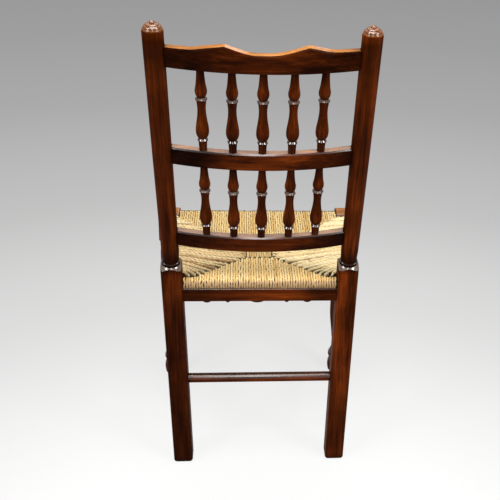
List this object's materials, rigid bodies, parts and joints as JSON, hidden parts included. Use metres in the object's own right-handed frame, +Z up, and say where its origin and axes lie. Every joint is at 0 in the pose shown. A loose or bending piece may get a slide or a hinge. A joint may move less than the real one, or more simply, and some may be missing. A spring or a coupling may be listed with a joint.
{
  "type": "spindle back side chair",
  "caption": "Dining side chair with raked round posts, bowed back rails joined by turned spindles, turned front legs and a woven rush seat.",
  "frame": {"origin": "centre of the bounding box's bottom face, on the floor", "axes": "+X to the sitter's left, +Y to the back of the chair, +Z up"},
  "size_m": [0.4873, 0.5128, 0.9736],
  "materials": {
    "post_wood": "dark french polish, worn at the edges",
    "back_rail_wood": "dark french polish, worn at the edges",
    "turned_wood": "dark french polish",
    "edging_wood": "dark french polish",
    "seat_rail_wood": "raw, hidden in the rush",
    "rush": "twisted rush, dry",
    "stuffing": "loose rush ends",
    "steel": "dulled"
  },
  "bodies": {
    "root": {"back_post_left": "post_wood", "back_post_right": "post_wood", "crest_rail": "back_rail_wood", "edging_pins": "steel", "edging_strip_front": "edging_wood", "edging_strip_left": "edging_wood", "edging_strip_rear": "edging_wood", "edging_strip_right": "edging_wood", "front_leg_left": "turned_wood", "front_leg_right": "turned_wood", "front_stretcher": "turned_wood", "lower_rail": "back_rail_wood", "lower_spindle_1": "turned_wood", "lower_spindle_2": "turned_wood", "lower_spindle_3": "turned_wood", "lower_spindle_4": "turned_wood", "lower_spindle_5": "turned_wood", "middle_rail": "back_rail_wood", "rear_stretcher": "turned_wood", "rush_seat": "rush", "seat_rail_front": "seat_rail_wood", "seat_rail_left": "seat_rail_wood", "seat_rail_rear": "seat_rail_wood", "seat_rail_right": "seat_rail_wood", "seat_stuffing": "stuffing", "side_stretcher_lower_left": "turned_wood", "side_stretcher_lower_right": "turned_wood", "side_stretcher_upper_left": "turned_wood", "side_stretcher_upper_right": "turned_wood", "upper_spindle_1": "turned_wood", "upper_spindle_2": "turned_wood", "upper_spindle_3": "turned_wood", "upper_spindle_4": "turned_wood", "upper_spindle_5": "turned_wood"}
  },
  "joints": []
}
